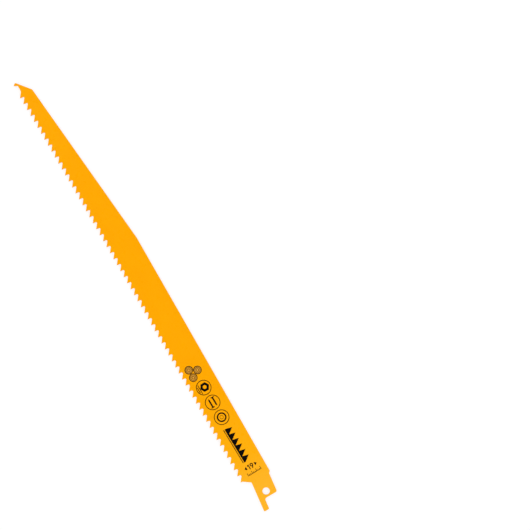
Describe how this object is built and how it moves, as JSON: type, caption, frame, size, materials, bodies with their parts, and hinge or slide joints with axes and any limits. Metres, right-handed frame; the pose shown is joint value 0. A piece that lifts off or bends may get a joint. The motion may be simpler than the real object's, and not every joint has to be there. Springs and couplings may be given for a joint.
{
  "type": "reciprocating saw blade",
  "caption": "Long flat reciprocating saw blade with set teeth along one edge, a tapered back, a plunge nose and a canted tang with a pin hole.",
  "frame": {"origin": "centre of the tang's pin hole, half way through the blade's thickness", "axes": "+X along the blade from the hole to the nose, +Y across the blade to the teeth, +Z out of the printed face, which is up as the blade lies"},
  "size_m": [0.3048, 0.0199, 0.0018],
  "materials": {
    "painted_steel": "satin orange-yellow paint over steel",
    "printing_ink": "thin black printing ink on the painted face"
  },
  "bodies": {
    "root": {"blade": "painted_steel"}
  },
  "joints": []
}
